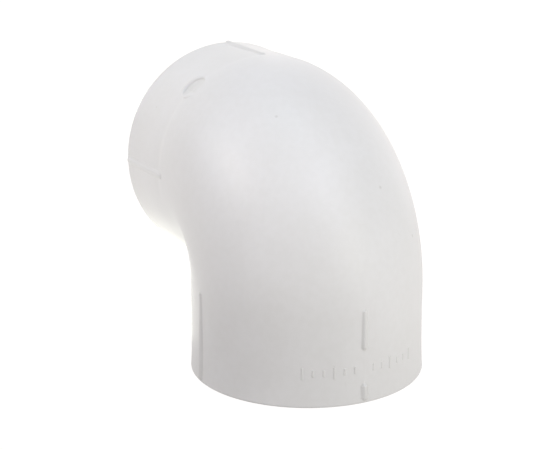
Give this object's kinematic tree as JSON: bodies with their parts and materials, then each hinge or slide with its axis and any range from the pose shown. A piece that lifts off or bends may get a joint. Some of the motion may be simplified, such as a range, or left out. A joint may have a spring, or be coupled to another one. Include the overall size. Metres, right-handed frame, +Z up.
{
  "type": "elbow pipe fitting",
  "caption": "Plain white 90 degree elbow for plastic irrigation pipe, with two equal sockets, raised alignment bars and an internal pipe stop in each socket.",
  "frame": {"origin": "bottom centre of the fitting's box, on the plane of the lower socket's mouth", "axes": "+Z up along the lower socket's axis, +X along the side socket's axis and out of its mouth, Y across the fitting's plane of symmetry"},
  "size_m": [0.068, 0.053, 0.068],
  "materials": {
    "white_plastic": "satin moulded polypropylene, white, very slightly translucent"
  },
  "bodies": {
    "root": {"elbow_body": "white_plastic"}
  },
  "joints": []
}
